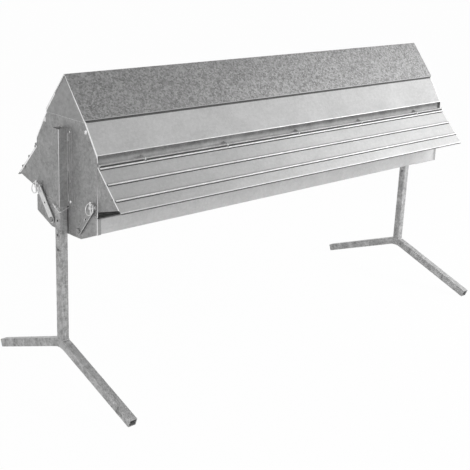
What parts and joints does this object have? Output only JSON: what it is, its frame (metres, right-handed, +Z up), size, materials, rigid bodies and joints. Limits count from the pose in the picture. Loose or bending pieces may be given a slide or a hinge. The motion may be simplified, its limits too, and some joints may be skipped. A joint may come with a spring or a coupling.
{
  "type": "lamb feeder",
  "caption": "Double-sided galvanised hopper feeder for lambs: hinged roof lid, ribbed rain flaps, a trough below, and pinned telescopic legs on V-shaped feet.",
  "frame": {"origin": "on the ground, under the middle of the feeder", "axes": "+X along the hopper, -Y towards the front, away from the lid's hinge, +Z up"},
  "size_m": [1.891, 0.7924, 1.068],
  "materials": {
    "spangled_roof": "dark spangled galvanised sheet",
    "galvanised_sheet": "smooth galvanised sheet",
    "galvanised_plate": "blotchy galvanised plate",
    "dipped_tube": "hot-dip galvanised tube",
    "bright_zinc": "bright zinc-plated fittings"
  },
  "bodies": {
    "hopper": {"end_plate_left": "galvanised_plate", "end_plate_right": "galvanised_plate", "trough_cap_left": "galvanised_plate", "trough_cap_right": "galvanised_plate", "leg_sleeve_left": "galvanised_plate", "leg_sleeve_right": "galvanised_plate", "side_panel_front": "galvanised_sheet", "side_panel_rear": "galvanised_sheet", "hinge_rail_front": "galvanised_sheet", "hinge_rail_rear": "galvanised_sheet", "hopper_floor_front": "galvanised_sheet", "hopper_floor_rear": "galvanised_sheet", "flap_rod_front": "bright_zinc", "flap_rod_rear": "bright_zinc", "trough": "galvanised_sheet", "inner_braces": "galvanised_sheet", "lid_hinge_lower_leaves": "bright_zinc", "lid_hinge_pins": "bright_zinc", "gate_bolts": "bright_zinc", "sleeve_rivets": "bright_zinc", "eave_bolts": "bright_zinc", "strap_studs": "bright_zinc", "strap_bolts": "bright_zinc"},
    "lid": {"roof_sheet": "spangled_roof", "roof_gable_left": "galvanised_plate", "roof_gable_right": "galvanised_plate", "lid_hinge_upper_leaves": "bright_zinc"},
    "flap_front": {"flap_front": "galvanised_sheet", "flap_cheeks_front": "galvanised_plate"},
    "flap_rear": {"flap_rear": "galvanised_sheet", "flap_cheeks_rear": "galvanised_plate"},
    "feed_gate_front": {"feed_gate_front": "galvanised_sheet"},
    "feed_gate_rear": {"feed_gate_rear": "galvanised_sheet"},
    "leg_left": {"post_left": "dipped_tube", "foot_left": "dipped_tube"},
    "leg_pin_left": {"leg_pin_left": "bright_zinc"},
    "leg_right": {"post_right": "dipped_tube", "foot_right": "dipped_tube"},
    "leg_pin_right": {"leg_pin_right": "bright_zinc"},
    "trough_strap_front_left": {"trough_strap_front_left": "bright_zinc"},
    "linch_pin_front_left": {"linch_pin_front_left": "bright_zinc"},
    "linch_ring_front_left": {"linch_ring_front_left": "bright_zinc"},
    "trough_strap_front_right": {"trough_strap_front_right": "bright_zinc"},
    "linch_pin_front_right": {"linch_pin_front_right": "bright_zinc"},
    "linch_ring_front_right": {"linch_ring_front_right": "bright_zinc"},
    "trough_strap_rear_left": {"trough_strap_rear_left": "bright_zinc"},
    "linch_pin_rear_left": {"linch_pin_rear_left": "bright_zinc"},
    "linch_ring_rear_left": {"linch_ring_rear_left": "bright_zinc"},
    "trough_strap_rear_right": {"trough_strap_rear_right": "bright_zinc"},
    "linch_pin_rear_right": {"linch_pin_rear_right": "bright_zinc"},
    "linch_ring_rear_right": {"linch_ring_rear_right": "bright_zinc"}
  },
  "joints": [
    {"name": "lid_hinge", "type": "hinge", "parent": "hopper", "child": "lid", "pos_m": [0, 0.1134, 0.9325], "axis": [-1, 0, 0], "range_deg": [0, 110]},
    {"name": "flap_front_hinge", "type": "hinge", "parent": "hopper", "child": "flap_front", "pos_m": [0, -0.18, 0.806], "axis": [-1, 0, 0], "range_deg": [0, 155]},
    {"name": "flap_rear_hinge", "type": "hinge", "parent": "hopper", "child": "flap_rear", "pos_m": [0, 0.18, 0.806], "axis": [-1, 0, 0], "range_deg": [-155, 0]},
    {"name": "feed_gate_front_slide", "type": "slide", "parent": "hopper", "child": "feed_gate_front", "axis": [0, 0.6485, -0.7612], "range_m": [0, 0.035]},
    {"name": "feed_gate_rear_slide", "type": "slide", "parent": "hopper", "child": "feed_gate_rear", "axis": [0, -0.6485, -0.7612], "range_m": [0, 0.035]},
    {"name": "leg_left_slide", "type": "slide", "parent": "hopper", "child": "leg_left", "axis": [0, 0, -1], "range_m": [0, 0.2]},
    {"name": "leg_pin_left_slide", "type": "slide", "parent": "leg_left", "child": "leg_pin_left", "axis": [-1, 0, 0], "range_m": [0, 0.05]},
    {"name": "leg_right_slide", "type": "slide", "parent": "hopper", "child": "leg_right", "axis": [0, 0, -1], "range_m": [0, 0.2]},
    {"name": "leg_pin_right_slide", "type": "slide", "parent": "leg_right", "child": "leg_pin_right", "axis": [1, 0, 0], "range_m": [0, 0.05]},
    {"name": "trough_strap_front_left_hinge", "type": "hinge", "parent": "hopper", "child": "trough_strap_front_left", "pos_m": [-0.9056, -0.078, 0.57], "axis": [-1, 0, 0], "range_deg": [0, 50]},
    {"name": "linch_pin_front_left_slide", "type": "slide", "parent": "hopper", "child": "linch_pin_front_left", "axis": [0, 0, 1], "range_m": [0, 0.045]},
    {"name": "linch_ring_front_left_hinge", "type": "hinge", "parent": "linch_pin_front_left", "child": "linch_ring_front_left", "pos_m": [-0.9136, -0.157, 0.683], "axis": [0, 1, 0], "range_deg": [0, 130]},
    {"name": "trough_strap_front_right_hinge", "type": "hinge", "parent": "hopper", "child": "trough_strap_front_right", "pos_m": [0.9056, -0.078, 0.57], "axis": [-1, 0, 0], "range_deg": [0, 50]},
    {"name": "linch_pin_front_right_slide", "type": "slide", "parent": "hopper", "child": "linch_pin_front_right", "axis": [0, 0, 1], "range_m": [0, 0.045]},
    {"name": "linch_ring_front_right_hinge", "type": "hinge", "parent": "linch_pin_front_right", "child": "linch_ring_front_right", "pos_m": [0.9136, -0.157, 0.683], "axis": [0, -1, 0], "range_deg": [0, 130]},
    {"name": "trough_strap_rear_left_hinge", "type": "hinge", "parent": "hopper", "child": "trough_strap_rear_left", "pos_m": [-0.9056, 0.078, 0.57], "axis": [1, 0, 0], "range_deg": [0, 50]},
    {"name": "linch_pin_rear_left_slide", "type": "slide", "parent": "hopper", "child": "linch_pin_rear_left", "axis": [0, 0, 1], "range_m": [0, 0.045]},
    {"name": "linch_ring_rear_left_hinge", "type": "hinge", "parent": "linch_pin_rear_left", "child": "linch_ring_rear_left", "pos_m": [-0.9136, 0.157, 0.683], "axis": [0, 1, 0], "range_deg": [0, 130]},
    {"name": "trough_strap_rear_right_hinge", "type": "hinge", "parent": "hopper", "child": "trough_strap_rear_right", "pos_m": [0.9056, 0.078, 0.57], "axis": [1, 0, 0], "range_deg": [0, 50]},
    {"name": "linch_pin_rear_right_slide", "type": "slide", "parent": "hopper", "child": "linch_pin_rear_right", "axis": [0, 0, 1], "range_m": [0, 0.045]},
    {"name": "linch_ring_rear_right_hinge", "type": "hinge", "parent": "linch_pin_rear_right", "child": "linch_ring_rear_right", "pos_m": [0.9136, 0.157, 0.683], "axis": [0, -1, 0], "range_deg": [0, 130]}
  ]
}
